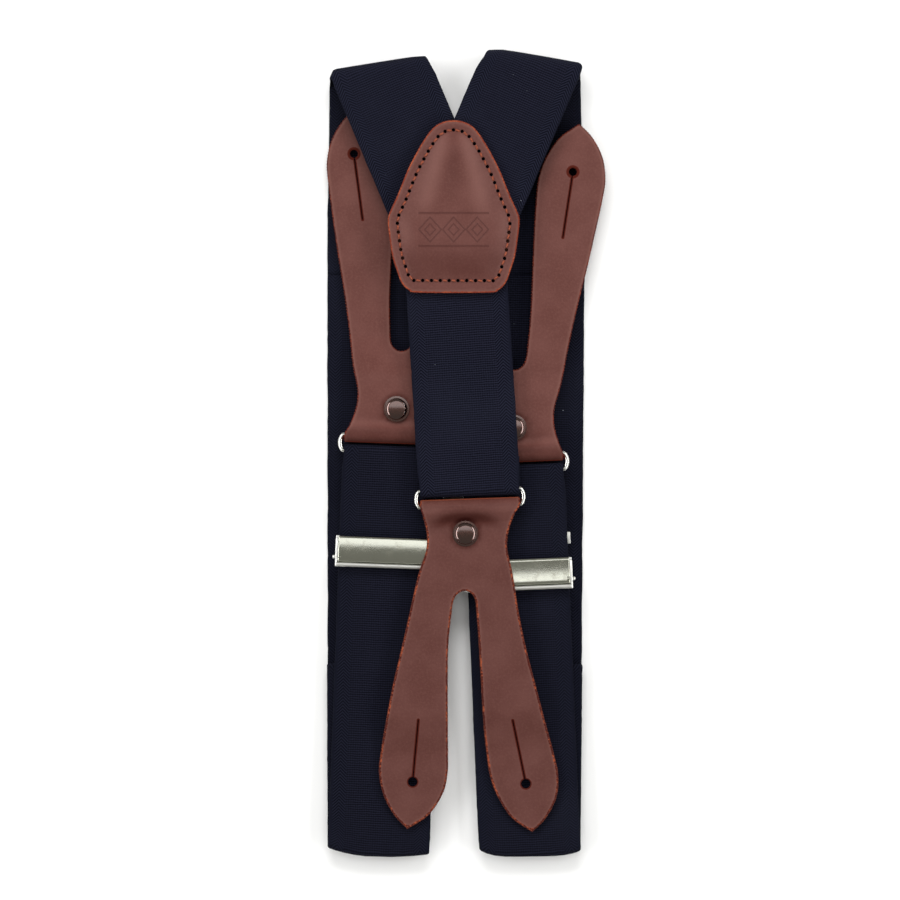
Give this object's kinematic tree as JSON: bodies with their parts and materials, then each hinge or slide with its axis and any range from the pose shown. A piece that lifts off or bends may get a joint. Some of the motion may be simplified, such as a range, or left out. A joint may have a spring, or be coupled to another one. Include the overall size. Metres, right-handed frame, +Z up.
{
  "type": "suspenders",
  "caption": "Button-on suspenders with a Y back, folded flat: elastic webbing, leather patch and prong tabs, wire rings, riveted ends and slide adjusters with levers.",
  "frame": {"origin": "on the surface the folded suspenders lie on, under the middle of their footprint", "axes": "+Z up, out of the face that shows; +Y along the length, towards the top folds and the leather patch; +X to the right seen from above"},
  "size_m": [0.095, 0.2768, 0.0136],
  "materials": {
    "webbing": "dark navy elastic webbing, ribbed in the middle with herringbone bands by the edges",
    "leather": "reddish brown smooth leather, slight gloss, raw orange-brown cut edges",
    "nickel": "bright nickel plate",
    "bronze": "dark antique bronze, domed",
    "thread": "rust-coloured waxed thread"
  },
  "bodies": {
    "root": {"left_strap_front": "webbing", "right_strap_front": "webbing", "left_strap_rear": "webbing", "right_strap_rear": "webbing", "left_strap_return": "webbing", "right_strap_return": "webbing"},
    "back_section": {"left_strap_upper": "webbing", "right_strap_upper": "webbing", "back_strap": "webbing", "patch_front": "leather", "patch_back": "leather", "patch_thread": "thread"},
    "back_ring_body": {"back_ring": "nickel"},
    "back_tab_body": {"back_tab": "leather", "back_rivet_cap": "bronze", "back_rivet_post": "bronze"},
    "left_front_ring_body": {"left_front_ring": "nickel"},
    "left_front_tab_body": {"left_front_tab": "leather", "left_front_rivet_cap": "bronze", "left_front_rivet_post": "bronze"},
    "left_adjuster": {"left_adjuster_frame": "nickel", "left_adjuster_pin": "nickel"},
    "left_lever": {"left_adjuster_lever": "nickel"},
    "right_front_ring_body": {"right_front_ring": "nickel"},
    "right_front_tab_body": {"right_front_tab": "leather", "right_front_rivet_cap": "bronze", "right_front_rivet_post": "bronze"},
    "right_adjuster": {"right_adjuster_frame": "nickel", "right_adjuster_pin": "nickel"},
    "right_lever": {"right_adjuster_lever": "nickel"}
  },
  "joints": [
    {"name": "back_section_fold", "type": "hinge", "parent": "root", "child": "back_section", "pos_m": [-0.00006, 0.13875, 0.0047], "axis": [-1, 0, 0], "range_deg": [0, 165]},
    {"name": "back_ring_turn", "type": "hinge", "parent": "back_section", "child": "back_ring_body", "pos_m": [0.00124, -0.0131, 0.0101], "axis": [-0.9994, -0.0349, 0], "range_deg": [0, 80]},
    {"name": "back_tab_swing", "type": "hinge", "parent": "back_ring_body", "child": "back_tab_body", "pos_m": [0.00144, -0.019, 0.0101], "axis": [-0.9994, -0.0349, 0], "range_deg": [0, 85]},
    {"name": "left_front_ring_turn", "type": "hinge", "parent": "root", "child": "left_front_ring_body", "pos_m": [-0.02467, -0.0007, 0.0046], "axis": [0.9993, -0.0372, 0], "range_deg": [0, 10]},
    {"name": "left_front_tab_swing", "type": "hinge", "parent": "left_front_ring_body", "child": "left_front_tab_body", "pos_m": [-0.02445, 0.0052, 0.0046], "axis": [0.9993, -0.0372, 0], "range_deg": [0, 20]},
    {"name": "left_adjuster_slide", "type": "slide", "parent": "root", "child": "left_adjuster", "axis": [-0.0372, -0.9993, 0], "range_m": [-0.004, 0.035], "deforming": ["left_strap_return"]},
    {"name": "left_lever_open", "type": "hinge", "parent": "left_adjuster", "child": "left_lever", "pos_m": [-0.02601, -0.03665, 0.00875], "axis": [0.9993, -0.0372, 0], "range_deg": [0, 100]},
    {"name": "right_front_ring_turn", "type": "hinge", "parent": "root", "child": "right_front_ring_body", "pos_m": [0.01636, -0.0071, 0.0046], "axis": [0.9992, 0.0412, 0], "range_deg": [0, 10]},
    {"name": "right_front_tab_swing", "type": "hinge", "parent": "right_front_ring_body", "child": "right_front_tab_body", "pos_m": [0.01612, -0.00121, 0.0046], "axis": [0.9992, 0.0412, 0], "range_deg": [0, 20]},
    {"name": "right_adjuster_slide", "type": "slide", "parent": "root", "child": "right_adjuster", "axis": [0.0412, -0.9992, 0], "range_m": [-0.001, 0.035], "deforming": ["right_strap_return"]},
    {"name": "right_lever_open", "type": "hinge", "parent": "right_adjuster", "child": "right_lever", "pos_m": [0.01789, -0.04415, 0.00875], "axis": [0.9992, 0.0412, 0], "range_deg": [0, 100]}
  ],
  "couplings": [
    {"joint": "left_front_ring_turn", "follows": "back_section_fold", "ratio": 0.05},
    {"joint": "left_front_tab_swing", "follows": "back_section_fold", "ratio": 0.12},
    {"joint": "left_lever_open", "follows": "back_section_fold", "ratio": 0.6},
    {"joint": "right_front_ring_turn", "follows": "back_section_fold", "ratio": 0.05},
    {"joint": "right_front_tab_swing", "follows": "back_section_fold", "ratio": 0.12},
    {"joint": "right_lever_open", "follows": "back_section_fold", "ratio": 0.6}
  ]
}
